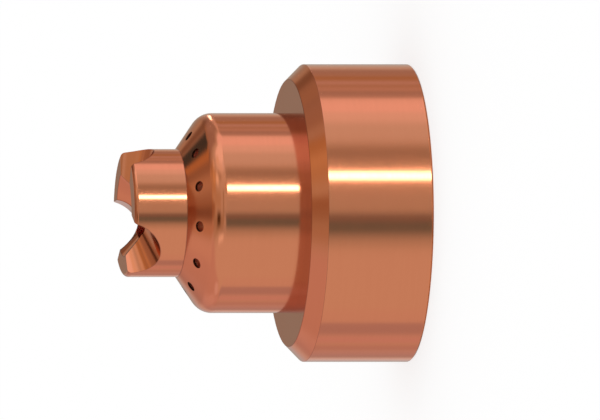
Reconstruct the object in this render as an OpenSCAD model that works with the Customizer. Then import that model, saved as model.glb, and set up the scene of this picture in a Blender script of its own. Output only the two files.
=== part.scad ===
// Plasma torch shield: a turned copper cup that screws over the front of a torch.
// It stands on its open rear face, with the torch axis along +Z and the slotted nose at the top.
// One prong of the nose points along -Y.

/* [Skirt] */
// Outside diameter of the skirt
skirt_d = 33.5; // [32:0.1:40]
// Height of the flat shoulder above the rear face
shoulder_h = 13.7; // [12.5:0.1:18]
// Leg of the 45 degree chamfer round the shoulder
shoulder_chamfer = 1.7; // [0.5:0.1:2]
// Edge break on the outside of the rear face
rear_break = 0.2; // [0.1:0.05:0.5]

/* [Barrel and cone] */
// Outside diameter of the barrel
barrel_d = 22.5; // [21:0.1:25]
// Height of the barrel from the shoulder to where its side would meet the cone
barrel_h = 9.96; // [7:0.01:14]
// Angle between the cone's side and the axis
cone_angle = 55; // [45:1:65]
// Radius of the rounded edge between barrel and cone
barrel_round = 2.2; // [0.5:0.1:2.5]

/* [Nose] */
// Outside diameter of the nose
nose_d = 14.4; // [13:0.1:15]
// Length of the nose beyond the cone
nose_h = 6; // [5:0.1:8]
// Radius round the nose's front edge
tip_round = 0.5; // [0.2:0.05:0.8]
// Diameter of the countersink at the front face
mouth_d = 9.8; // [8.5:0.1:11]
// Included angle of the countersink
mouth_angle = 100; // [90:1:110]
// Diameter of the orifice
orifice_d = 5.6; // [4:0.1:6]
// Length of the orifice behind the countersink
orifice_land = 1.7; // [1:0.1:2]

/* [Notches] */
// Number of notches round the front face
notch_count = 3; // [2:1:4]
// Radius of each notch where it breaks out of the nose's side
notch_r = 3.93; // [3:0.01:4.2]
// Height of each notch's axis above the front face
notch_rise = 0.77; // [0.5:0.01:1.5]
// Angle between a notch's side and its axis, as it widens outwards
notch_flare = 14.6; // [5:0.1:18]

/* [Vents] */
// Number of vent holes round the cone
vent_count = 12; // [6:1:18]
// Diameter of a vent hole
vent_d = 1.15; // [0.8:0.05:1.6]
// Diameter of the circle through the vent holes, on the cone's surface
vent_circle_d = 17.6; // [17:0.1:18]
// Edge break at each vent hole's mouth
vent_break = 0.1; // [0.05:0.01:0.15]

/* [Inside] */
// Outside diameter of the thread that the shield screws onto
thread_d = 28; // [26:0.1:29]
// Pitch of that thread
thread_pitch = 1.5; // [1:0.25:2]
// Height of the seat above the rear face
seat_h = 10; // [8:0.1:11]
// Width of the relief groove between thread and seat
relief_w = 1.8; // [1.2:0.1:2.4]
// Radius in the corners of the relief groove
relief_round = 0.4; // [0.1:0.05:0.5]
// How far lead-in and relief groove are cut past the thread's outside radius
thread_over = 0.2; // [0.1:0.05:0.4]
// Wall of the barrel
barrel_wall = 2; // [1.5:0.1:2.5]
// Wall of the cone
cone_wall = 2; // [1.5:0.1:2.5]
// Radius inside, where the barrel's bore meets the cone
bore_round = 1.2; // [0.4:0.1:2]
// Edge break where the seat meets the barrel's bore
seat_break = 0.3; // [0.1:0.05:0.6]
// Diameter of the bore through the nose, behind the orifice
nose_bore_d = 8; // [7:0.1:9]
// Angle between the taper up to the orifice and the axis
taper_angle = 45; // [30:1:60]

/* [Hidden] */
$fn = 180;
over = 1; // how far a cutter runs past the face it opens

skirt_r = skirt_d / 2;
barrel_r = barrel_d / 2;
nose_r = nose_d / 2;
mouth_r = mouth_d / 2;
orifice_r = orifice_d / 2;
nose_bore_r = nose_bore_d / 2;
bore_r = barrel_r - barrel_wall;

// Outside heights, from the rear face up
edge_z = shoulder_h + barrel_h;
nose_z = edge_z + (barrel_r - nose_r) / tan(cone_angle);
tip_z = nose_z + nose_h;

// Inside thread: the bore is left at the thread's inside diameter
thread_r = thread_d / 2 - 0.5413 * thread_pitch;
relief_r = thread_d / 2 + thread_over;
relief_z = seat_h - relief_w;

// Inside of the cone: the outside line moved in by the wall, as a radius at a height
function cone_r(z) = nose_r + (nose_z - z) * tan(cone_angle);
function inner_cone_r(z) = cone_r(z) - cone_wall / cos(cone_angle);
function inner_cone_z(r) = nose_z - (r - nose_r + cone_wall / cos(cone_angle)) / tan(cone_angle);

// Orifice, from the countersink back to the nose bore
mouth_z = tip_z - (mouth_r - orifice_r) / tan(mouth_angle / 2);
land_z = mouth_z - orifice_land;
taper_z = land_z - (nose_bore_r - orifice_r) / tan(taper_angle);

// Distance along either side of a corner, from the corner to where a rounding touches it
function touch(radius, turn) = radius * tan(turn / 2);

// What a rounding takes off a corner, as a flat shape: its corner, its radius, the side that it
// leaves the corner along first (start) and the angle between its two sides' directions (turn).
module corner_waste(radius, start, turn) {
    t = touch(radius, turn);
    difference() {
        polygon([
            [0, 0],
            [t * cos(start), t * sin(start)],
            [t * cos(start + 180 - turn), t * sin(start + 180 - turn)]
        ]);
        translate([
            radius / cos(turn / 2) * cos(start + 90 - turn / 2),
            radius / cos(turn / 2) * sin(start + 90 - turn / 2)
        ])
            circle(r = radius);
    }
}

// Half section of the outside, as radius and height
module outside_section() {
    difference() {
        polygon([
            [0, 0],
            [skirt_r - rear_break, 0],
            [skirt_r, rear_break],
            [skirt_r, shoulder_h - shoulder_chamfer],
            [skirt_r - shoulder_chamfer, shoulder_h],
            [barrel_r, shoulder_h],
            [barrel_r, edge_z],
            [nose_r, nose_z],
            [nose_r, tip_z],
            [0, tip_z]
        ]);
        // rounded edge between barrel and cone
        translate([barrel_r, edge_z])
            corner_waste(barrel_round, 90 + cone_angle, cone_angle);
        // rounded front edge of the nose
        translate([nose_r, tip_z])
            corner_waste(tip_round, 180, 90);
    }
}

// Half section of the hollow, from the rear face to the front face
module hollow_section() {
    bore_top = inner_cone_z(bore_r);
    difference() {
        polygon([
            [0, -over],
            [relief_r, -over],
            [relief_r, 0],
            [thread_r, relief_r - thread_r],
            [thread_r, relief_z],
            [relief_r, relief_z],
            [relief_r, seat_h],
            [bore_r + seat_break, seat_h],
            [bore_r, seat_h + seat_break],
            [bore_r, bore_top],
            [nose_bore_r, inner_cone_z(nose_bore_r)],
            [nose_bore_r, taper_z],
            [orifice_r, land_z],
            [orifice_r, mouth_z],
            [mouth_r, tip_z],
            [mouth_r, tip_z + over],
            [0, tip_z + over]
        ]);
        // rounded corners of the relief groove
        translate([relief_r, seat_h])
            corner_waste(relief_round, 180, 90);
        translate([relief_r, relief_z])
            corner_waste(relief_round, 90, 90);
        // rounded corner at the top of the barrel's bore
        translate([bore_r, bore_top])
            corner_waste(bore_round, 90 + cone_angle, cone_angle);
    }
}

// One vent hole on the +X side, square to the cone and through its wall
module vent_cutter() {
    vent_r = vent_d / 2;
    vent_z = nose_z - (vent_circle_d / 2 - nose_r) / tan(cone_angle);
    translate([vent_circle_d / 2, 0, vent_z])
        rotate([0, 90 - cone_angle, 0]) {
            translate([0, 0, -cone_wall - over])
                cylinder(r = vent_r, h = cone_wall + 2 * over);
            translate([0, 0, -vent_break])
                cylinder(r1 = vent_r, r2 = vent_r + vent_break + over, h = vent_break + over);
        }
}

// One notch on the +X side: a round cutter that widens outwards, its axis just above the tip
module notch_cutter() {
    spread = tan(notch_flare);
    translate([0, 0, tip_z + notch_rise])
        rotate([0, 90, 0])
            cylinder(
                r1 = notch_r - nose_r * spread,
                r2 = notch_r + over * spread,
                h = nose_r + over
            );
}

module shield() {
    color("peru")
        difference() {
            rotate_extrude()
                difference() {
                    outside_section();
                    hollow_section();
                }
            for (i = [0 : vent_count - 1])
                rotate([0, 0, i * 360 / vent_count])
                    vent_cutter();
            for (i = [0 : notch_count - 1])
                rotate([0, 0, 90 + i * 360 / notch_count])
                    notch_cutter();
        }
}

shield();
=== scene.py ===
import math
import bmesh
import bpy
import numpy as np
from mathutils import Matrix, Vector


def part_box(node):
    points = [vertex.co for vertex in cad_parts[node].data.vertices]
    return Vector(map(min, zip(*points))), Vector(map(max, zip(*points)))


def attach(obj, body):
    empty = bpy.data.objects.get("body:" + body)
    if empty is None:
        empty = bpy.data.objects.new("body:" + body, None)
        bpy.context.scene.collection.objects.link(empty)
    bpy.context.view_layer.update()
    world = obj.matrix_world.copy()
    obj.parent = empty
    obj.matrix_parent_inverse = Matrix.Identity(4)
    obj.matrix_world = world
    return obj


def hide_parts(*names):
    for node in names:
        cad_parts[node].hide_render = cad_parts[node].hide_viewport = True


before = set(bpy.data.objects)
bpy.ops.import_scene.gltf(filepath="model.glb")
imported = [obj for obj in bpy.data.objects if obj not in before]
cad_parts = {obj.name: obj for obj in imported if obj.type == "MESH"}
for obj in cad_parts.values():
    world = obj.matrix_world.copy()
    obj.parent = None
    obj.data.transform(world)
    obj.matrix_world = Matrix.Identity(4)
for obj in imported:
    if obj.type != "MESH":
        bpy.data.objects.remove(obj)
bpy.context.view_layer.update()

# Camera. A parallel view of the shield with its axis level across the picture, nose to the left
# and ten degrees towards the camera. The shield itself stands on its rear face, so the camera
# lies on its side.
MM = 0.001
camera_round = math.radians(-20)
camera_rise = math.radians(10)
picture_width = 67.53 * MM
aim_height = 12.383 * MM
aim_side = 0.343 * MM
camera_distance = 0.4
toward_flat = Vector((math.sin(camera_round), -math.cos(camera_round), 0))
axis = Vector((0, 0, 1))
toward = toward_flat * math.cos(camera_rise) + axis * math.sin(camera_rise)
picture_up = axis.cross(toward_flat)
picture_right = picture_up.cross(toward)

camera_data = bpy.data.cameras.new("camera")
camera_data.type = "ORTHO"
camera_data.ortho_scale = picture_width
camera_data.clip_end = 5
camera = bpy.data.objects.new("camera", camera_data)
camera_turn = Matrix((picture_right, picture_up, toward)).transposed().to_4x4()
camera_place = axis * aim_height + picture_up * aim_side + toward * camera_distance
camera.matrix_world = Matrix.Translation(camera_place) @ camera_turn
bpy.context.scene.collection.objects.link(camera)
bpy.context.scene.camera = camera


# Room. Soft lamps, pale walls and dark flags that the polished copper mirrors, given by where
# they stand round the shield in the picture's frame: azimuth from the camera towards the left,
# elevation towards the picture's top. The camera and the floor get a plain white.
def node(tree, kind, **settings):
    made = tree.nodes.new(kind)
    for name, value in settings.items():
        setattr(made, name, value)
    return made


def maths(tree, operation, *values):
    made = node(tree, "ShaderNodeMath", operation=operation)
    for slot, value in zip(made.inputs, values):
        if isinstance(value, (int, float)):
            slot.default_value = value
        else:
            tree.links.new(value, slot)
    return made.outputs[0]


def along(tree, vector, direction):
    made = node(tree, "ShaderNodeVectorMath", operation="DOT_PRODUCT")
    tree.links.new(vector, made.inputs[0])
    made.inputs[1].default_value = direction
    return made.outputs["Value"]


def panel_mask(tree, azimuth, elevation, one):
    off = maths(tree, "SUBTRACT", azimuth, one["azimuth"])
    off = maths(tree, "WRAP", off, 180, -180)
    side = maths(tree, "ABSOLUTE", off)
    rise = maths(tree, "ABSOLUTE", maths(tree, "SUBTRACT", elevation, one["elevation"]))
    masks = []
    for distance, half in ((side, one["width"] / 2), (rise, one["height"] / 2)):
        fade = node(tree, "ShaderNodeMapRange", interpolation_type="SMOOTHSTEP")
        tree.links.new(distance, fade.inputs["Value"])
        fade.inputs["From Min"].default_value = half + one["soft"]
        fade.inputs["From Max"].default_value = max(half - one["soft"], 0)
        fade.inputs["To Min"].default_value = 0
        fade.inputs["To Max"].default_value = 1
        masks.append(fade.outputs["Result"])
    return maths(tree, "MULTIPLY", *masks)


# A panel's place, width, height and the softness of its edges are in degrees, and its light comes
# last. A later panel stands in front of an earlier one.
def panel(name, azimuth, elevation, width, height, soft, light):
    return {"name": name, "azimuth": azimuth, "elevation": elevation, "width": width,
            "height": height, "soft": soft, "light": light}


room_grey = (0.52, 0.52, 0.51)
panels = [
    panel("ground", 0, -62, 360, 75, 13, (0.60, 0.59, 0.61)),
    panel("ground left", 122, -46, 110, 64, 11, (0.55, 0.46, 0.51)),
    panel("ground far left", 148, -44, 34, 36, 8, (0.64, 0.57, 0.67)),
    panel("ground left top", 118, -72, 64, 11, 5, (0.66, 0.64, 0.79)),
    panel("ground left behind", 167, -60, 12, 12, 5, (0.61, 0.52, 0.63)),
    panel("ground far", -88, -80, 80, 6, 4, (0.60, 0.565, 0.605)),
    panel("ground behind", -156, -75.5, 58, 17, 5, (0.44, 0.415, 0.525)),
    panel("ground behind left", -167, -61.5, 24, 9, 5, (0.61, 0.52, 0.64)),
    panel("ground behind near", -178, -38.5, 34, 15, 4, (0.63, 0.60, 0.72)),
    panel("ground behind slot", -175, -49.5, 30, 7, 3, (0.55, 0.49, 0.58)),
    panel("skirting behind", 179, -20.5, 30, 11, 5.5, (1.22, 1.23, 1.24)),
    panel("skirting top", 176, -14, 28, 10, 5, (1.05, 1.05, 1.05)),
    panel("ceiling", 0, 90, 360, 32, 5, (0.87, 0.81, 0.98)),
    panel("ceiling right", -38, 67, 50, 25, 9, (0.61, 0.66, 0.74)),
    panel("ceiling front", -55, 76, 50, 8, 4, (0.76, 0.78, 0.92)),
    panel("ceiling lamp", 35, 68, 80, 32, 8, (0.90, 0.91, 1.06)),
    panel("wall top", 36, 50, 56, 12, 6, (0.74, 0.74, 0.77)),
    panel("ceiling edge", 2, 58, 14, 10, 5, (0.66, 0.71, 0.82)),
    panel("front board", 10, 38, 36, 14, 6, (0.57, 0.57, 0.56)),
    panel("front skirting", 13, -18, 30, 8, 5, (0.44, 0.44, 0.44)),
    panel("picture rail", -24, 46, 22, 10, 7, (0.34, 0.34, 0.33)),
    panel("wall top left", 52, 55, 14, 8, 4, (0.76, 0.72, 0.66)),
    panel("shelf", 34, 39, 24, 8, 4, (0.43, 0.40, 0.35)),
    panel("wall lamp", 50, 32, 20, 10, 5, (0.84, 0.84, 0.80)),
    panel("front wall", 45, 13, 40, 18, 6, (0.46, 0.41, 0.33)),
    panel("dim corner", 128, 49, 70, 40, 8, (0.33, 0.29, 0.29)),
    panel("dim corner right", 144, 46, 28, 30, 8, (0.38, 0.34, 0.35)),
    panel("left wall", 108, 15, 50, 46, 8, (0.33, 0.25, 0.20)),
    panel("left wall window", 94, 15, 8, 10, 4, (0.44, 0.36, 0.30)),
    panel("left wall foot", 96, -20, 16, 12, 6, (0.60, 0.52, 0.55)),
    panel("warm wall", 72, 18, 26, 40, 6, (0.48, 0.38, 0.25)),
    panel("warm board", 70, 27, 18, 9, 4, (0.60, 0.48, 0.30)),
    panel("warm wall foot", 68, 10.5, 15, 9, 4, (0.48, 0.44, 0.38)),
    panel("warm cornice", 76, 38, 14, 8, 3, (0.65, 0.60, 0.55)),
    panel("upper corner", 91, 38, 9, 14, 4, (0.42, 0.38, 0.35)),
    panel("left wall lamp", 92, 21, 8, 8, 3, (0.54, 0.41, 0.26)),
    panel("warm wall side", 85, 30, 6, 12, 3, (0.42, 0.29, 0.15)),
    panel("left wall niche", 104, 26, 7, 16, 3, (0.27, 0.195, 0.145)),
    panel("warm lamp", 111.5, 24, 9, 13, 2.5, (0.46, 0.285, 0.14)),
    panel("left wall base", 81, -9, 30, 6, 4, (0.47, 0.35, 0.29)),
    panel("left wall socle", 77, 1.5, 26, 12, 3, (0.31, 0.205, 0.135)),
    panel("left wall plug", 90, 0, 10, 5, 4, (0.19, 0.12, 0.09)),
    panel("left corner", 147, 26, 22, 20, 6, (0.24, 0.18, 0.14)),
    panel("dark doorway", 125, 28, 19, 15, 3.5, (0.05, 0.07, 0.08)),
    panel("door lintel", 132, 35.5, 24, 4, 3, (0.36, 0.29, 0.24)),
    panel("dark door post", 116.5, 1, 9, 16, 3, (0.07, 0.04, 0.03)),
    panel("left corner shelf", 155, 19, 9, 9, 3, (0.62, 0.57, 0.46)),
    panel("back wall", 166, 5, 30, 38, 7, (0.55, 0.48, 0.38)),
    panel("back wall door", 160, 0, 13, 11, 5, (0.45, 0.40, 0.32)),
    panel("back skirting", 167, -18, 24, 18, 6, (0.85, 0.84, 0.86)),
    panel("back top", 172, 54, 18, 34, 7, (0.66, 0.61, 0.64)),
    panel("back right", -166.5, 50, 35, 52, 3, (0.47, 0.42, 0.41)),
    panel("back right low", -176, 20, 30, 20, 6, (0.84, 0.80, 0.70)),
    panel("back right top", -158, 71, 26, 7, 3, (0.40, 0.38, 0.44)),
    panel("back right board", -174, 49, 24, 6, 3, (0.43, 0.33, 0.21)),
    panel("back right rail", -172, 56.5, 30, 3, 2, (0.54, 0.50, 0.60)),
    panel("back right groove", -168, 61.3, 30, 2, 2, (0.42, 0.36, 0.33)),
    panel("back right bead", -164, 65.3, 30, 2, 2, (0.51, 0.45, 0.48)),
    panel("back right slot", -159, 69.6, 24, 2, 1.5, (0.36, 0.34, 0.38)),
    panel("right board", -130, 0, 60, 60, 10, (0.60, 0.45, 0.27)),
    panel("right flag", -110, -4, 44, 7, 3, (0.20, 0.12, 0.07)),
    panel("front middle", 1, -1, 12, 10, 4, (0.43, 0.44, 0.455)),
    panel("lower wall", -18, 9, 18, 15, 5, (0.47, 0.485, 0.485)),
    panel("flag foot", -22, -19.5, 34, 9, 6, (0.45, 0.46, 0.46)),
    panel("dark flag", -22, -8.8, 34, 16, 5.5, (0.15, 0.20, 0.21)),
    panel("dark flag top", -22, -4.2, 34, 3, 3, (0.222, 0.208, 0.215)),
    panel("post", 10, 6, 6, 38, 3, (0.34, 0.30, 0.22)),
    panel("table shade", 42, -9, 60, 18, 7, (0.37, 0.33, 0.27)),
    panel("table end", 64, -14, 8, 7, 4, (0.48, 0.44, 0.41)),
    panel("dark table", 38, -6, 20, 13, 5, (0.07, 0.04, 0.01)),
    panel("bright mat", 25, -27, 32, 7, 4, (0.82, 0.84, 0.90)),
    panel("amber trim", -5, 30, 5, 8, 3, (0.50, 0.35, 0.15)),
    panel("key lamp", -26, 28.6, 20, 5.8, 1, (7.5, 7.5, 7.5)),
    panel("back lamp top", 167, 39, 3, 6, 1.2, (6.5, 6.5, 6.5)),
    panel("back lamp", 169.5, 33, 3, 7, 1.2, (6.5, 6.5, 6.5)),
    panel("back lamp foot", 172, 27.5, 3, 6, 1.2, (6.5, 6.5, 6.5)),
]

world = bpy.data.worlds.new("room")
bpy.context.scene.world = world
world.use_nodes = True
world.cycles.sampling_method = "NONE"
room = world.node_tree
room.nodes.clear()
look = node(room, "ShaderNodeTexCoord").outputs["Generated"]
leftward = along(room, look, -picture_right)
upward = along(room, look, picture_up)
forward = along(room, look, toward)
azimuth = maths(room, "DEGREES", maths(room, "ARCTAN2", leftward, forward))
elevation = maths(room, "DEGREES", maths(room, "ARCSINE", upward))

light = node(room, "ShaderNodeRGB").outputs[0]
light.default_value = (*room_grey, 1)
for one in panels:
    blend = node(room, "ShaderNodeMix", data_type="RGBA", label=one["name"])
    room.links.new(panel_mask(room, azimuth, elevation, one), blend.inputs["Factor"])
    room.links.new(light, blend.inputs["A"])
    blend.inputs["B"].default_value = (*one["light"], 1)
    light = blend.outputs["Result"]

studio = node(room, "ShaderNodeBackground")
room.links.new(light, studio.inputs["Color"])
white = node(room, "ShaderNodeBackground")
white.inputs["Color"].default_value = (1, 1, 1, 1)
ray = node(room, "ShaderNodeLightPath")
choose = node(room, "ShaderNodeMixShader")
room.links.new(ray.outputs["Is Glossy Ray"], choose.inputs["Fac"])
room.links.new(white.outputs[0], choose.inputs[1])
room.links.new(studio.outputs[0], choose.inputs[2])
room.links.new(choose.outputs[0], node(room, "ShaderNodeOutputWorld").inputs["Surface"])

# Floor. A plain white sheet under the rear face. It takes the shield's shadow, which the sheet's own
# glow makes paler to the camera. The copper mirrors the room through it, and only partly where the
# skirt covers it, so that the hollow stays dark.
skirt_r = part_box("shield")[1].x
floor_reach = 1.0
covered_clear = 0.7
camera_glow = 0.7
floor_corners = [(-floor_reach, -floor_reach, 0), (floor_reach, -floor_reach, 0),
                 (floor_reach, floor_reach, 0), (-floor_reach, floor_reach, 0)]
floor_mesh = bpy.data.meshes.new("floor")
floor_mesh.from_pydata(floor_corners, [], [(0, 1, 2, 3)])
floor = bpy.data.objects.new("floor", floor_mesh)
bpy.context.scene.collection.objects.link(floor)
sheet = bpy.data.materials.new("white_sheet")
sheet.use_nodes = True
tree = sheet.node_tree
tree.nodes.clear()
matt = node(tree, "ShaderNodeBsdfDiffuse")
matt.inputs["Color"].default_value = (1, 1, 1, 1)
clear = node(tree, "ShaderNodeBsdfTransparent")
ray = node(tree, "ShaderNodeLightPath")
place = node(tree, "ShaderNodeTexCoord").outputs["Object"]
from_axis = node(tree, "ShaderNodeVectorMath", operation="LENGTH")
tree.links.new(place, from_axis.inputs[0])
outside = maths(tree, "GREATER_THAN", from_axis.outputs["Value"], skirt_r)
clearness = maths(tree, "MAXIMUM", outside, covered_clear)
mirrored = maths(tree, "MULTIPLY", ray.outputs["Is Glossy Ray"], clearness)
choose = node(tree, "ShaderNodeMixShader")
tree.links.new(mirrored, choose.inputs["Fac"])
tree.links.new(matt.outputs[0], choose.inputs[1])
tree.links.new(clear.outputs[0], choose.inputs[2])
glow = node(tree, "ShaderNodeEmission")
glow.inputs["Color"].default_value = (1, 1, 1, 1)
paler = node(tree, "ShaderNodeMixShader")
tree.links.new(maths(tree, "MULTIPLY", ray.outputs["Is Camera Ray"], camera_glow), paler.inputs["Fac"])
tree.links.new(choose.outputs[0], paler.inputs[1])
tree.links.new(glow.outputs[0], paler.inputs[2])
tree.links.new(paler.outputs[0], node(tree, "ShaderNodeOutputMaterial").inputs["Surface"])
floor_mesh.materials.append(sheet)

# Turned body. The shield is turned from copper bar: skirt, shoulder, barrel, cone and nose outside,
# and the seat, bores and orifice inside. Its half section is spun round the axis. A corner is its
# radius, its height and the radius of its rounding: sharp edges are just broken.
STEPS = 180
WELD = 0.001 * MM
rear_break = 0.2 * MM
shoulder_z = 13.7 * MM
shoulder_chamfer = 1.7 * MM
barrel_r = 11.25 * MM
barrel_length = 9.96 * MM
barrel_round = 2.2 * MM
cone_angle = math.radians(55)
nose_r = 7.2 * MM
nose_length = 6 * MM
tip_round = 0.5 * MM
mouth_r = 4.9 * MM
mouth_half_angle = math.radians(50)
orifice_r = 2.8 * MM
orifice_land = 1.7 * MM
nose_bore_r = 4 * MM
wall_thick = 2 * MM
bore_round = 1.2 * MM
seat_z = 10 * MM
seat_break = 0.3 * MM
thread_r = 14 * MM
relief_over = 0.2 * MM
relief_z = 8.2 * MM
relief_round = 0.4 * MM
sharp = 0.06 * MM
dulled = 0.08 * MM
split_z = 16 * MM
FACET_DEGREES = 5

shoulder_r = skirt_r - shoulder_chamfer
chamfer_z = shoulder_z - shoulder_chamfer
edge_z = shoulder_z + barrel_length
nose_z = edge_z + (barrel_r - nose_r) / math.tan(cone_angle)
tip_z = nose_z + nose_length
mouth_z = tip_z - (mouth_r - orifice_r) / math.tan(mouth_half_angle)
land_z = mouth_z - orifice_land
taper_z = land_z - (nose_bore_r - orifice_r)
bore_r = barrel_r - wall_thick
relief_r = thread_r + relief_over
roundings = []


def inner_cone_z(radius):
    return nose_z - (radius - nose_r + wall_thick / math.cos(cone_angle)) / math.tan(cone_angle)


nose_section = [
    (barrel_r, split_z, 0), (barrel_r, edge_z, barrel_round), (nose_r, nose_z, sharp),
    (nose_r, tip_z, tip_round), (mouth_r, tip_z, sharp), (orifice_r, mouth_z, sharp),
    (orifice_r, land_z, sharp), (nose_bore_r, taper_z, sharp),
    (nose_bore_r, inner_cone_z(nose_bore_r), sharp), (bore_r, inner_cone_z(bore_r), bore_round),
    (bore_r, split_z, 0), (barrel_r, split_z, 0),
]
skirt_section = [
    (relief_r, 0, 0), (skirt_r - rear_break, 0, sharp), (skirt_r, rear_break, sharp),
    (skirt_r, chamfer_z, dulled), (shoulder_r, shoulder_z, dulled), (barrel_r, shoulder_z, 0),
    (barrel_r, split_z, 0),
]
seat_section = [
    (bore_r, split_z, 0), (bore_r, seat_z + seat_break, dulled), (bore_r + seat_break, seat_z, dulled),
    (relief_r, seat_z, relief_round), (relief_r, relief_z, relief_round),
    (relief_r - relief_round, relief_z, 0),
]


def outline(corners):
    points = []
    for number, (corner_r, corner_z, radius) in enumerate(corners):
        here = Vector((corner_r, corner_z))
        if not radius:
            points.append((corner_r, 0, corner_z))
            continue
        back = (Vector(corners[number - 1][:2]) - here).normalized()
        ahead = (Vector(corners[number + 1][:2]) - here).normalized()
        bend = math.pi - back.angle(ahead)
        touch = radius * math.tan(bend / 2)
        centre = here + (back + ahead).normalized() * radius / math.cos(bend / 2)
        start = here + back * touch - centre
        end = here + ahead * touch - centre
        sweep = math.copysign(bend, start.x * end.y - start.y * end.x)
        facets = max(3, round(math.degrees(bend) * min(radius / MM, 1) / FACET_DEGREES))
        for facet in range(facets + 1):
            point = centre + Matrix.Rotation(sweep * facet / facets, 2) @ start
            points.append((point.x, 0, point.y))
        roundings.append((centre.x, centre.y, radius))
    return points


def geometry_tree(name, inputs):
    tree = bpy.data.node_groups.new(name, "GeometryNodeTree")
    for label, kind in inputs:
        tree.interface.new_socket(name=label, in_out="INPUT", socket_type="NodeSocket" + kind)
    tree.interface.new_socket(name="Mesh", in_out="OUTPUT", socket_type="NodeSocketGeometry")
    return tree, node(tree, "NodeGroupInput").outputs


def fed(tree, made, **values):
    for label, value in values.items():
        slot = made.inputs[label.replace("_", " ")]
        if isinstance(value, bpy.types.NodeSocket):
            tree.links.new(value, slot)
        else:
            slot.default_value = value
    return made.outputs[0]


def step(tree, kind, **values):
    return fed(tree, node(tree, kind), **values)


def parted(tree, vector):
    made = node(tree, "ShaderNodeSeparateXYZ")
    tree.links.new(vector, made.inputs[0])
    return made.outputs


def spun_grid(tree, grid, row_point, angle):
    turner = node(tree, "ShaderNodeVectorRotate", rotation_type="Z_AXIS")
    place = fed(tree, turner, Vector=row_point, Angle=angle)
    moved = step(tree, "GeometryNodeSetPosition", Geometry=grid, Position=place)
    return step(tree, "GeometryNodeMergeByDistance", Geometry=moved, Distance=WELD)


def finish_tree(tree, mesh, material):
    plain = step(tree, "GeometryNodeRealizeInstances", Geometry=mesh)
    dressed = step(tree, "GeometryNodeSetMaterial", Geometry=plain, Material=material)
    tree.links.new(dressed, node(tree, "NodeGroupOutput").inputs[0])


def made_by(tree, name, points, **values):
    mesh = bpy.data.meshes.new(name)
    mesh.from_pydata(points, [], [])
    blank = bpy.data.objects.new(name, mesh)
    bpy.context.scene.collection.objects.link(blank)
    maker = blank.modifiers.new(name, "NODES")
    maker.node_group = tree
    for label, value in values.items():
        maker[tree.interface.items_tree[label.replace("_", " ")].identifier] = value
    made = bpy.data.meshes.new_from_object(blank.evaluated_get(bpy.context.evaluated_depsgraph_get()))
    bpy.data.objects.remove(blank)
    return made


turned, given = geometry_tree("turned", [
    ("Section", "Geometry"), ("Steps", "Int"), ("Material", "Material"),
])
size = node(turned, "GeometryNodeAttributeDomainSize")
turned.links.new(given["Section"], size.inputs[0])
count = size.outputs["Point Count"]
rows = maths(turned, "SUBTRACT", count, 1)
grid = step(turned, "GeometryNodeMeshGrid", Size_X=rows, Size_Y=math.tau, Vertices_X=count,
            Vertices_Y=maths(turned, "ADD", given["Steps"], 1))
position = node(turned, "GeometryNodeInputPosition").outputs[0]
at = parted(turned, position)
row = maths(turned, "ROUND", maths(turned, "ADD", at["X"], maths(turned, "MULTIPLY", rows, 0.5)))
row_point = fed(turned, node(turned, "GeometryNodeSampleIndex", data_type="FLOAT_VECTOR"),
                Geometry=given["Section"], Value=position, Index=row)
finish_tree(turned, spun_grid(turned, grid, row_point, at["Y"]), given["Material"])

turned_copper = bpy.data.materials.new("turned_copper")
skirt = made_by(turned, "skirt", outline(skirt_section), Steps=STEPS, Material=turned_copper)
seat = made_by(turned, "seat", outline(seat_section), Steps=STEPS, Material=turned_copper)

# Vents and notches. Twelve gas holes are drilled square through the cone, each with its burr
# taken off. Three notches are milled across the nose with a tapered cutter and leave three prongs.
vent_count = 12
vent_r = 0.575 * MM
vent_break = 0.03 * MM
vent_circle_r = 8.8 * MM
vent_tilt = math.radians(90) - cone_angle
vent_z = nose_z - (vent_circle_r - nose_r) / math.tan(cone_angle)
vent_place = Vector((vent_circle_r, 0, vent_z))
drill_length = 6 * MM
burr_tool_length = 1 * MM
notch_count = 3
notch_start = math.radians(90)
notch_rise = 0.77 * MM
notch_z = tip_z + notch_rise
notch_flare = math.tan(math.radians(14.6))
notch_outer_r = 3.93 * MM
notch_inner_r = notch_outer_r - nose_r * notch_flare
notch_reach = nose_r + 1 * MM
VENT_FACETS = 48
NOTCH_FACETS = 144

nose_tree, given = geometry_tree("vented and notched nose", [
    ("Section", "Geometry"), ("Steps", "Int"), ("Material", "Material"), ("Vents", "Int"),
    ("Vent Radius", "Float"), ("Vent Break", "Float"), ("Vent Place", "Vector"), ("Vent Tilt", "Float"),
    ("Notches", "Int"), ("Notch Start", "Float"), ("Notch Height", "Float"),
    ("Notch Inner Radius", "Float"), ("Notch Flare", "Float"), ("Notch Reach", "Float"),
])


def ring_of(tree, cutter, number, start):
    points = step(tree, "GeometryNodePoints", Count=number)
    pitch = maths(tree, "DIVIDE", math.tau, number)
    index = node(tree, "GeometryNodeInputIndex").outputs[0]
    spin = step(tree, "ShaderNodeCombineXYZ", Z=maths(tree, "MULTIPLY_ADD", index, pitch, start))
    ring = step(tree, "GeometryNodeInstanceOnPoints", Points=points, Instance=cutter, Rotation=spin)
    return step(tree, "GeometryNodeRealizeInstances", Geometry=ring)


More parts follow.
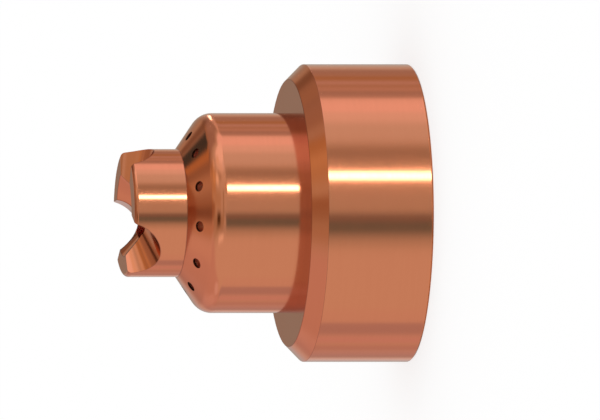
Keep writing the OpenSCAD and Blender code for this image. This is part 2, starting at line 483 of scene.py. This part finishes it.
spun = fed(nose_tree, node(nose_tree, "GeometryNodeGroup", node_tree=turned),
           Section=given["Section"], Steps=given["Steps"], Material=given["Material"])
cut = node(nose_tree, "GeometryNodeMeshBoolean", operation="DIFFERENCE", solver="EXACT")
nose_tree.links.new(spun, cut.inputs["Mesh 1"])
drill = step(nose_tree, "GeometryNodeMeshCylinder", Vertices=VENT_FACETS, Radius=given["Vent Radius"],
             Depth=drill_length)
burr_r = maths(nose_tree, "ADD", given["Vent Radius"], given["Vent Break"])
burr_tool = step(nose_tree, "GeometryNodeMeshCone", Vertices=VENT_FACETS, Depth=burr_tool_length,
                 Radius_Bottom=maths(nose_tree, "SUBTRACT", burr_r, burr_tool_length / 2),
                 Radius_Top=maths(nose_tree, "ADD", burr_r, burr_tool_length / 2))
burr_tool = step(nose_tree, "GeometryNodeTransform", Geometry=burr_tool,
                 Translation=(0, 0, -burr_tool_length / 2))
tilt = step(nose_tree, "ShaderNodeCombineXYZ", Y=given["Vent Tilt"])
for cutter in (drill, burr_tool):
    placed = step(nose_tree, "GeometryNodeTransform", Geometry=cutter,
                  Translation=given["Vent Place"], Rotation=tilt)
    nose_tree.links.new(ring_of(nose_tree, placed, given["Vents"], 0), cut.inputs["Mesh 2"])
mill_r = maths(nose_tree, "MULTIPLY_ADD", given["Notch Flare"], given["Notch Reach"],
               given["Notch Inner Radius"])
mill = step(nose_tree, "GeometryNodeMeshCone", Vertices=NOTCH_FACETS, Depth=given["Notch Reach"],
            Radius_Bottom=given["Notch Inner Radius"], Radius_Top=mill_r)
lift = step(nose_tree, "ShaderNodeCombineXYZ", Z=given["Notch Height"])
mill = step(nose_tree, "GeometryNodeTransform", Geometry=mill, Translation=lift,
            Rotation=(0, math.radians(90), 0))
nose_tree.links.new(ring_of(nose_tree, mill, given["Notches"], given["Notch Start"]), cut.inputs["Mesh 2"])
finish_tree(nose_tree, cut.outputs["Mesh"], given["Material"])

nose = made_by(nose_tree, "nose", outline(nose_section), Steps=STEPS, Material=turned_copper,
               Vents=vent_count, Vent_Radius=vent_r, Vent_Break=vent_break, Vent_Place=vent_place,
               Vent_Tilt=vent_tilt, Notches=notch_count, Notch_Start=notch_start, Notch_Height=notch_z,
               Notch_Inner_Radius=notch_inner_r, Notch_Flare=notch_flare, Notch_Reach=notch_reach)

# Thread. The skirt's bore is threaded M28 x 1.5, right-handed, from a 45 degree lead-in at the rear
# face to the relief groove. Its rows follow the helix, so that crest and root keep sharp edges.
thread_pitch = 1.5 * MM
thread_turns = 7
thread_depth = 0.5413 * thread_pitch
crest_r = thread_r - thread_depth
crest_flat = 1 / 4
root_flat = 1 / 8
ROWS_PER_TURN = 16

thread_tree, given = geometry_tree("inside thread", [
    ("Blank", "Geometry"), ("Steps", "Int"), ("Material", "Material"), ("Pitch", "Float"),
    ("Turns", "Int"), ("Crest Radius", "Float"), ("Root Radius", "Float"), ("Mouth Radius", "Float"),
    ("Height", "Float"), ("End Radius", "Float"),
])
span = maths(thread_tree, "MULTIPLY", given["Turns"], given["Pitch"])
rows = maths(thread_tree, "MULTIPLY_ADD", given["Turns"], ROWS_PER_TURN, 1)
grid = step(thread_tree, "GeometryNodeMeshGrid", Size_X=span, Size_Y=math.tau, Vertices_X=rows,
            Vertices_Y=maths(thread_tree, "ADD", given["Steps"], 1))
at = parted(thread_tree, node(thread_tree, "GeometryNodeInputPosition").outputs[0])

# Each row climbs by one pitch in a turn, and stays between the rear face and the relief groove.
half_span = maths(thread_tree, "MULTIPLY", span, 0.5)
turn = maths(thread_tree, "MULTIPLY_ADD", at["Y"], 1 / math.tau, 0.5)
climb = maths(thread_tree, "MULTIPLY", turn, given["Pitch"])
start = maths(thread_tree, "SUBTRACT", half_span, given["Pitch"])
height = maths(thread_tree, "ADD", maths(thread_tree, "ADD", at["X"], start), climb)
height = maths(thread_tree, "MINIMUM", maths(thread_tree, "MAXIMUM", height, 0), given["Height"])

# Across one pitch the wall is a flat crest, a slanting flank and a flat root.
phase = maths(thread_tree, "DIVIDE", maths(thread_tree, "SUBTRACT", height, climb), given["Pitch"])
phase = maths(thread_tree, "FRACT", maths(thread_tree, "ADD", phase, 2.5))
from_crest = maths(thread_tree, "ABSOLUTE", maths(thread_tree, "SUBTRACT", phase, 0.5))
wall = step(thread_tree, "ShaderNodeMapRange", Value=from_crest, From_Min=crest_flat / 2,
            From_Max=0.5 - root_flat / 2, To_Min=given["Crest Radius"], To_Max=given["Root Radius"])

# The lead-in opens the bore at the rear face, and the last row meets the relief groove.
lead_in = maths(thread_tree, "SUBTRACT", given["Mouth Radius"], height)
wall = maths(thread_tree, "MAXIMUM", wall, lead_in)
to_end = maths(thread_tree, "SUBTRACT", given["Height"], height)
run_out = maths(thread_tree, "ADD", given["End Radius"], to_end)
wall = maths(thread_tree, "MINIMUM", wall, run_out)
just_short = maths(thread_tree, "MULTIPLY", span, 0.4999)
last_row = maths(thread_tree, "GREATER_THAN", at["X"], just_short)
wall_or_end = node(thread_tree, "ShaderNodeMix", data_type="FLOAT")
wall = fed(thread_tree, wall_or_end, Factor=last_row, A=wall, B=given["End Radius"])
row_point = step(thread_tree, "ShaderNodeCombineXYZ", X=wall, Z=height)
finish_tree(thread_tree, spun_grid(thread_tree, grid, row_point, at["Y"]), given["Material"])

thread = made_by(thread_tree, "thread", [(0, 0, 0)], Steps=STEPS, Material=turned_copper,
                 Pitch=thread_pitch, Turns=thread_turns, Crest_Radius=crest_r, Root_Radius=thread_r,
                 Mouth_Radius=relief_r, Height=relief_z, End_Radius=relief_r - relief_round)

# One piece. The four zones are one bar of copper, so they are welded into one closed shell. Each
# corner of a face gets the true direction of its turned, drilled or milled surface, and each face
# the finish that its cut leaves.
TURNED, FACED, BORED, MILLED, DRILLED = range(5)

# A face belongs to a rounding or a cut wall if it misses it by less than this, and if the cosine
# of the angle between the two is more than this.
SAME_WAY = 0.95
WALL_SAME_WAY = 0.97
ROUND_MISS = 0.008 * MM
WALL_MISS = 0.01 * MM
CUT_DEPTH = 4 * MM
VENT_RISE = 0.5 * MM
CLEAR_OF_REAR = 1 * MM
MARGIN = 0.5 * MM

shell = bmesh.new()
for zone in (skirt, seat, nose, thread):
    shell.from_mesh(zone)
bmesh.ops.remove_doubles(shell, verts=shell.verts, dist=WELD)
cap = [face for face in shell.faces if all(abs(corner.co.z - split_z) < WELD for corner in face.verts)]
bmesh.ops.delete(shell, geom=cap, context="FACES")
bmesh.ops.recalc_face_normals(shell, faces=shell.faces)
bmesh.ops.triangulate(shell, faces=[face for face in shell.faces if len(face.verts) > 4])
body_mesh = bpy.data.meshes.new("shield_body")
shell.to_mesh(body_mesh)
shell.free()
body_mesh.materials.append(turned_copper)
for name in ("faced_copper", "bored_copper", "milled_copper", "drilled_copper"):
    body_mesh.materials.append(bpy.data.materials.new(name))


# Each wall that a tool cuts: a place on the tool's axis, the axis, the radius at that place, how
# fast the radius grows along the axis, and how far along the axis the wall can go.
def cut_walls():
    tool = Vector((math.sin(vent_tilt), 0, math.cos(vent_tilt)))
    for number in range(vent_count):
        spin = Matrix.Rotation(math.tau * number / vent_count, 3, "Z")
        yield spin @ vent_place, spin @ tool, vent_r, 0, VENT_RISE
        yield spin @ vent_place, spin @ tool, vent_r + vent_break, 1, VENT_RISE
    for number in range(notch_count):
        spin = Matrix.Rotation(notch_start + math.tau * number / notch_count, 3, "Z")
        yield Vector((0, 0, notch_z)), spin @ Vector((1, 0, 0)), notch_inner_r, notch_flare, notch_reach


def wall_direction(points, origin, axis_line, radius, slope):
    offset = points - origin
    depth = offset @ axis_line
    outward = offset - depth[:, None] * axis_line
    reach = np.linalg.norm(outward, axis=1)
    direction = slope * axis_line - outward / np.maximum(reach, WELD)[:, None]
    direction /= np.linalg.norm(direction, axis=1)[:, None]
    return np.abs(reach - radius - slope * depth), depth, direction


def read(items, name, width, kind=float):
    values = np.empty(len(items) * width, kind)
    items.foreach_get(name, values)
    return values.reshape(-1, width) if width > 1 else values


vertices = read(body_mesh.vertices, "co", 3)
corners = read(body_mesh.loops, "vertex_index", 1, int)
owner = np.repeat(np.arange(len(body_mesh.polygons)), read(body_mesh.polygons, "loop_total", 1, int))
centres = read(body_mesh.polygons, "center", 3)
facing = read(body_mesh.polygons, "normal", 3)
points = vertices[corners]

centre_r = np.hypot(centres[:, 0], centres[:, 1])
centre_z = centres[:, 2]
face_out = (facing[:, :2] * centres[:, :2]).sum(1) / centre_r
face_up = facing[:, 2]
slant = np.stack([face_out, face_up], 1)
slant /= np.linalg.norm(slant, axis=1)[:, None]
point_r = np.hypot(points[:, 0], points[:, 1])
corner_slant = slant[owner]
for round_r, round_z, radius in roundings:
    reach = np.stack([centre_r - round_r, centre_z - round_z], 1)
    distance = np.linalg.norm(reach, axis=1)
    sense = (reach * slant).sum(1) / np.maximum(distance, WELD)
    on_round = (np.abs(distance - radius) < ROUND_MISS) & (np.abs(sense) > SAME_WAY)
    chosen = on_round[owner]
    exact = np.stack([point_r[chosen] - round_r, points[chosen, 2] - round_z], 1)
    exact *= (np.sign(sense[owner][chosen]) / np.linalg.norm(exact, axis=1))[:, None]
    corner_slant[chosen] = exact
normals = np.column_stack([points[:, :2] / point_r[:, None] * corner_slant[:, :1], corner_slant[:, 1]])

finish = np.full(len(centres), TURNED)
for origin, axis_line, radius, slope, far_end in cut_walls():
    wall = (np.array(origin), np.array(axis_line), radius, slope)
    miss, depth, direction = wall_direction(centres, *wall)
    reached = (depth > -CUT_DEPTH) & (depth < far_end)
    on_wall = (miss < WALL_MISS) & reached & ((direction * facing).sum(1) > WALL_SAME_WAY)
    chosen = on_wall[owner]
    normals[chosen] = wall_direction(points[chosen], *wall)[2]
    finish[on_wall] = MILLED if slope == notch_flare else DRILLED
turned_face = finish == TURNED
faces_axis = face_out < -0.1
faces_rear = (face_up < -0.5) & (centre_z > CLEAR_OF_REAR)
in_relief = (centre_r < relief_r + MARGIN) & (centre_z > CLEAR_OF_REAR) & (centre_z < seat_z + MARGIN)
countersink = centre_z > mouth_z + sharp
finish[turned_face & (faces_axis | faces_rear | in_relief) & ~countersink] = BORED
finish[turned_face & (np.abs(face_up) > SAME_WAY) & (finish != BORED)] = FACED
body_mesh.polygons.foreach_set("material_index", finish.astype(np.int32))
body_mesh.shade_smooth()
body_mesh.normals_split_custom_set(normals.tolist())

shield_body = bpy.data.objects.new("shield_body", body_mesh)
bpy.context.scene.collection.objects.link(shield_body)
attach(shield_body, "root")
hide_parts("shield")


# Copper. The bar is bright from the tool: fine lines run round the axis, and the edges have a thin
# darker brown line. The bores are duller than the outside, the notches carry the lines of the cutter,
# and the drilled vents are the roughest, with painted shade in a band just inside each mouth.
def shade_group(name, inputs, outputs):
    tree = bpy.data.node_groups.new(name, "ShaderNodeTree")
    for label, kind in inputs:
        tree.interface.new_socket(name=label, in_out="INPUT", socket_type="NodeSocket" + kind)
    for label in outputs:
        tree.interface.new_socket(name=label, in_out="OUTPUT", socket_type="NodeSocketFloat")
    return tree, node(tree, "NodeGroupInput").outputs, node(tree, "NodeGroupOutput").inputs


def placed_group(tree, group, **values):
    made = node(tree, "ShaderNodeGroup", node_tree=group)
    fed(tree, made, **values)
    return made.outputs


def distance_of(tree, a, b):
    squares = maths(tree, "ADD", maths(tree, "MULTIPLY", a, a), maths(tree, "MULTIPLY", b, b))
    return maths(tree, "SQRT", squares)


def soft_step(tree, value, low, high, at_low, at_high):
    fade = node(tree, "ShaderNodeMapRange", interpolation_type="SMOOTHSTEP")
    return fed(tree, fade, Value=value, From_Min=low, From_Max=high, To_Min=at_low, To_Max=at_high)


def spread(tree, position, size, detail):
    scaled = node(tree, "ShaderNodeVectorMath", operation="SCALE")
    tree.links.new(position, scaled.inputs[0])
    fed(tree, scaled, Scale=maths(tree, "DIVIDE", 1, size))
    return step(tree, "ShaderNodeTexNoise", Vector=scaled.outputs[0], Scale=1, Detail=detail)


round_axis, given, out = shade_group("place round the axis", [
    ("Position", "Vector"), ("Count", "Float"), ("Start", "Float"),
], ["Radius", "Height", "Along", "Aside"])
at = parted(round_axis, given["Position"])
radius = distance_of(round_axis, at["X"], at["Y"])
half = maths(round_axis, "DIVIDE", math.pi, given["Count"])
turn = maths(round_axis, "SUBTRACT", maths(round_axis, "ARCTAN2", at["Y"], at["X"]), given["Start"])
turn = maths(round_axis, "WRAP", turn, half, maths(round_axis, "MULTIPLY", half, -1))
round_axis.links.new(radius, out["Radius"])
round_axis.links.new(at["Z"], out["Height"])
round_axis.links.new(maths(round_axis, "MULTIPLY", radius, maths(round_axis, "COSINE", turn)), out["Along"])
round_axis.links.new(maths(round_axis, "MULTIPLY", radius, maths(round_axis, "SINE", turn)), out["Aside"])

tool_lines, given, out = shade_group("tool lines", [
    ("Position", "Vector"), ("Across", "Float"), ("Pitch", "Float"), ("Length", "Float"),
], ["Height", "Streak"])
at = parted(tool_lines, given["Position"])
lined = step(tool_lines, "ShaderNodeCombineXYZ",
             X=maths(tool_lines, "DIVIDE", given["Across"], given["Pitch"]),
             Y=maths(tool_lines, "DIVIDE", at["X"], given["Length"]),
             Z=maths(tool_lines, "DIVIDE", at["Y"], given["Length"]))
grooves = step(tool_lines, "ShaderNodeTexNoise", Vector=lined, Scale=1, Detail=2)
tool_lines.links.new(grooves, out["Height"])
tool_lines.links.new(soft_step(tool_lines, grooves, 0.35, 0.65, 0, 1), out["Streak"])

edge_line, given, out = shade_group("edge line", [
    ("Position", "Vector"), ("Distance", "Float"), ("Width", "Float"),
], ["Mask"])
ragged = maths(edge_line, "ADD", spread(edge_line, given["Position"], 0.5 * MM, 2), 0.5)
edge_line.links.new(soft_step(edge_line, maths(edge_line, "ABSOLUTE", given["Distance"]), 0,
                              maths(edge_line, "MULTIPLY", given["Width"], ragged), 1, 0), out["Mask"])

ring_edge, given, out = shade_group("ring edge", [
    ("Position", "Vector"), ("Radius", "Float"), ("Height", "Float"), ("Edge Radius", "Float"),
    ("Edge Height", "Float"), ("Width", "Float"),
], ["Mask"])
away = distance_of(ring_edge, maths(ring_edge, "SUBTRACT", given["Radius"], given["Edge Radius"]),
                   maths(ring_edge, "SUBTRACT", given["Height"], given["Edge Height"]))
line = placed_group(ring_edge, edge_line, Position=given["Position"], Distance=away, Width=given["Width"])
ring_edge.links.new(line["Mask"], out["Mask"])

hole_edge, given, out = shade_group("hole edge", [
    ("Position", "Vector"), ("Across", "Float"), ("Aside", "Float"), ("Bore Radius", "Float"),
    ("Width", "Float"),
], ["Mask"])
from_bore = distance_of(hole_edge, given["Across"], given["Aside"])
away = maths(hole_edge, "SUBTRACT", from_bore, given["Bore Radius"])
line = placed_group(hole_edge, edge_line, Position=given["Position"], Distance=away, Width=given["Width"])
hole_edge.links.new(line["Mask"], out["Mask"])

tarnish, given, out = shade_group("tarnish", [
    ("Position", "Vector"), ("Size", "Float"), ("Cover", "Float"),
], ["Mask"])
cloud = spread(tarnish, given["Position"], given["Size"], 4)
low = maths(tarnish, "SUBTRACT", 0.75, maths(tarnish, "MULTIPLY", given["Cover"], 0.5))
tarnish.links.new(soft_step(tarnish, cloud, low, maths(tarnish, "ADD", low, 0.3), 0, 1), out["Mask"])

scratches, given, out = shade_group("hair scratches", [
    ("Position", "Vector"), ("Length", "Float"),
], ["Mask"])
hair = None
for lean in (0.35, -0.9):
    leaned = fed(scratches, node(scratches, "ShaderNodeVectorRotate", rotation_type="X_AXIS"),
                 Vector=given["Position"], Angle=lean)
    stretched = node(scratches, "ShaderNodeVectorMath", operation="MULTIPLY")
    scratches.links.new(leaned, stretched.inputs[0])
    stretched.inputs[1].default_value = (14, 14, 1)
    drawn = spread(scratches, stretched.outputs[0], given["Length"], 1)
    from_middle = maths(scratches, "ABSOLUTE", maths(scratches, "SUBTRACT", drawn, 0.5))
    thin = soft_step(scratches, from_middle, 0, 0.012, 1, 0)
    rare = soft_step(scratches, spread(scratches, leaned, given["Length"], 0), 0.52, 0.66, 0, 1)
    one_way = maths(scratches, "MULTIPLY", thin, rare)
    hair = maths(scratches, "MAXIMUM", hair, one_way) if hair else one_way
scratches.links.new(hair, out["Mask"])

edge_brown = (0.42, 0.13, 0.07)
# Painted shade in the vents: its colour, and the depths below each vent's mouth where its band fades out
# and where it is full.
vent_painted_shade = (0.05, 0.02, 0.01)
vent_shade_from = -0.42 * MM
vent_shade_full = -0.16 * MM
notch_rim_width = 0.14 * MM
vent_rim_width = 0.09 * MM
vent_line = (math.sin(vent_tilt), math.cos(vent_tilt))
edge_rings = [
    (skirt_r - 0.1 * MM, 0.1 * MM, 0.1 * MM), (skirt_r, chamfer_z, 0.05 * MM),
    (shoulder_r, shoulder_z, 0.12 * MM), (nose_r - 0.1 * MM, tip_z - 0.1 * MM, 0.2 * MM),
    (mouth_r, tip_z, 0.12 * MM), (orifice_r, mouth_z, 0.1 * MM), (nose_r, nose_z, 0.1 * MM),
]


def tinted(tree, mask, strength, under, over):
    blend = node(tree, "ShaderNodeMix", data_type="RGBA")
    tree.links.new(maths(tree, "MULTIPLY", mask, strength), blend.inputs["Factor"])
    for slot, colour in (("A", under), ("B", over)):
        if isinstance(colour, tuple):
            blend.inputs[slot].default_value = (*colour, 1)
        else:
            tree.links.new(colour, blend.inputs[slot])
    return blend.outputs["Result"]


def copper_skin(material, bright, brown, roughness, lines, pitch, groove, cover, edges):
    material.use_nodes = True
    tree = material.node_tree
    skin = tree.nodes["Principled BSDF"]
    skin.inputs["Metallic"].default_value = 1
    skin.inputs["Specular Tint"].default_value = (0.6, 0.6, 0.6, 1)
    position = node(tree, "ShaderNodeTexCoord").outputs["Object"]
    notch = placed_group(tree, round_axis, Position=position, Count=notch_count, Start=notch_start)
    vent = placed_group(tree, round_axis, Position=position, Count=vent_count, Start=0)
    over_vent = maths(tree, "SUBTRACT", vent["Along"], vent_place.x)
    up_vent = maths(tree, "SUBTRACT", vent["Height"], vent_place.z)
    if lines == "section":
        across = maths(tree, "SUBTRACT", notch["Height"], notch["Radius"])
    elif lines == "face":
        across = notch["Radius"]
    elif lines == "notch":
        across = notch["Along"]
    else:
        across = maths(tree, "ADD", maths(tree, "MULTIPLY", over_vent, vent_line[0]),
                       maths(tree, "MULTIPLY", up_vent, vent_line[1]))
    marks = placed_group(tree, tool_lines, Position=position, Across=across, Pitch=pitch, Length=9 * MM)
    cloud = placed_group(tree, tarnish, Position=position, Size=5 * MM, Cover=cover)["Mask"]
    hair = placed_group(tree, scratches, Position=position, Length=3 * MM)["Mask"]
    line = 0
    if edges:
        for edge_r, edge_z, width in edge_rings:
            ring = placed_group(tree, ring_edge, Position=position, Radius=notch["Radius"],
                                Height=notch["Height"], Edge_Radius=edge_r, Edge_Height=edge_z,
                                Width=width)["Mask"]
            line = maths(tree, "MAXIMUM", line, ring)
        notch_r = maths(tree, "MULTIPLY_ADD", notch["Along"], notch_flare, notch_inner_r)
        rim = placed_group(tree, hole_edge, Position=position, Aside=notch["Aside"], Bore_Radius=notch_r,
                           Across=maths(tree, "SUBTRACT", notch["Height"], notch_z),
                           Width=notch_rim_width)["Mask"]
        line = maths(tree, "MAXIMUM", line, rim)
        vent_side = maths(tree, "SUBTRACT", maths(tree, "MULTIPLY", over_vent, vent_line[1]),
                          maths(tree, "MULTIPLY", up_vent, vent_line[0]))
        rim = placed_group(tree, hole_edge, Position=position, Aside=vent["Aside"], Bore_Radius=vent_r,
                           Across=vent_side, Width=vent_rim_width)["Mask"]
        line = maths(tree, "MAXIMUM", line, rim)
    colour = tinted(tree, cloud, 0.35, bright, brown)
    colour = tinted(tree, marks["Streak"], 0.08, colour, brown)
    if edges:
        colour = tinted(tree, line, 0.75, colour, edge_brown)
    # Painted shade: the vent wall is darkened in a band just inside the mouth, fading out deeper in.
    if lines == "vent":
        mouth = soft_step(tree, across, vent_shade_from, vent_shade_full, 0, 1)
        colour = tinted(tree, mouth, 0.97, colour, vent_painted_shade)
    tree.links.new(colour, skin.inputs["Base Color"])
    rough = maths(tree, "MULTIPLY_ADD", marks["Streak"], 0.02, roughness)
    rough = maths(tree, "MULTIPLY_ADD", cloud, 0.03, rough)
    rough = maths(tree, "MULTIPLY_ADD", hair, 0.05, rough)
    tree.links.new(maths(tree, "MULTIPLY_ADD", line, 0.1, rough), skin.inputs["Roughness"])
    height = maths(tree, "MULTIPLY_ADD", hair, -0.3, marks["Height"])
    relief = step(tree, "ShaderNodeBump", Strength=1, Distance=groove, Height=height)
    tree.links.new(relief, skin.inputs["Normal"])


finishes = body_mesh.materials
copper_skin(finishes[TURNED], bright=(0.93, 0.33, 0.16), brown=(0.86, 0.28, 0.13), roughness=0.12,
            lines="section", pitch=0.22 * MM, groove=0.0004 * MM, cover=0.4, edges=True)
copper_skin(finishes[FACED], bright=(0.93, 0.39, 0.24), brown=(0.86, 0.34, 0.20), roughness=0.15,
            lines="face", pitch=0.18 * MM, groove=0.0008 * MM, cover=0.5, edges=True)
copper_skin(finishes[BORED], bright=(0.82, 0.29, 0.15), brown=(0.58, 0.19, 0.10), roughness=0.22,
            lines="section", pitch=0.3 * MM, groove=0.003 * MM, cover=0.9, edges=False)
copper_skin(finishes[MILLED], bright=(0.93, 0.33, 0.16), brown=(0.84, 0.27, 0.12), roughness=0.11,
            lines="notch", pitch=0.2 * MM, groove=0.0006 * MM, cover=0.5, edges=False)
copper_skin(finishes[DRILLED], bright=(0.96, 0.46, 0.31), brown=(0.84, 0.36, 0.23), roughness=0.45,
            lines="vent", pitch=0.12 * MM, groove=0.004 * MM, cover=0.8, edges=False)

bpy.context.scene.view_settings.view_transform = "Standard"
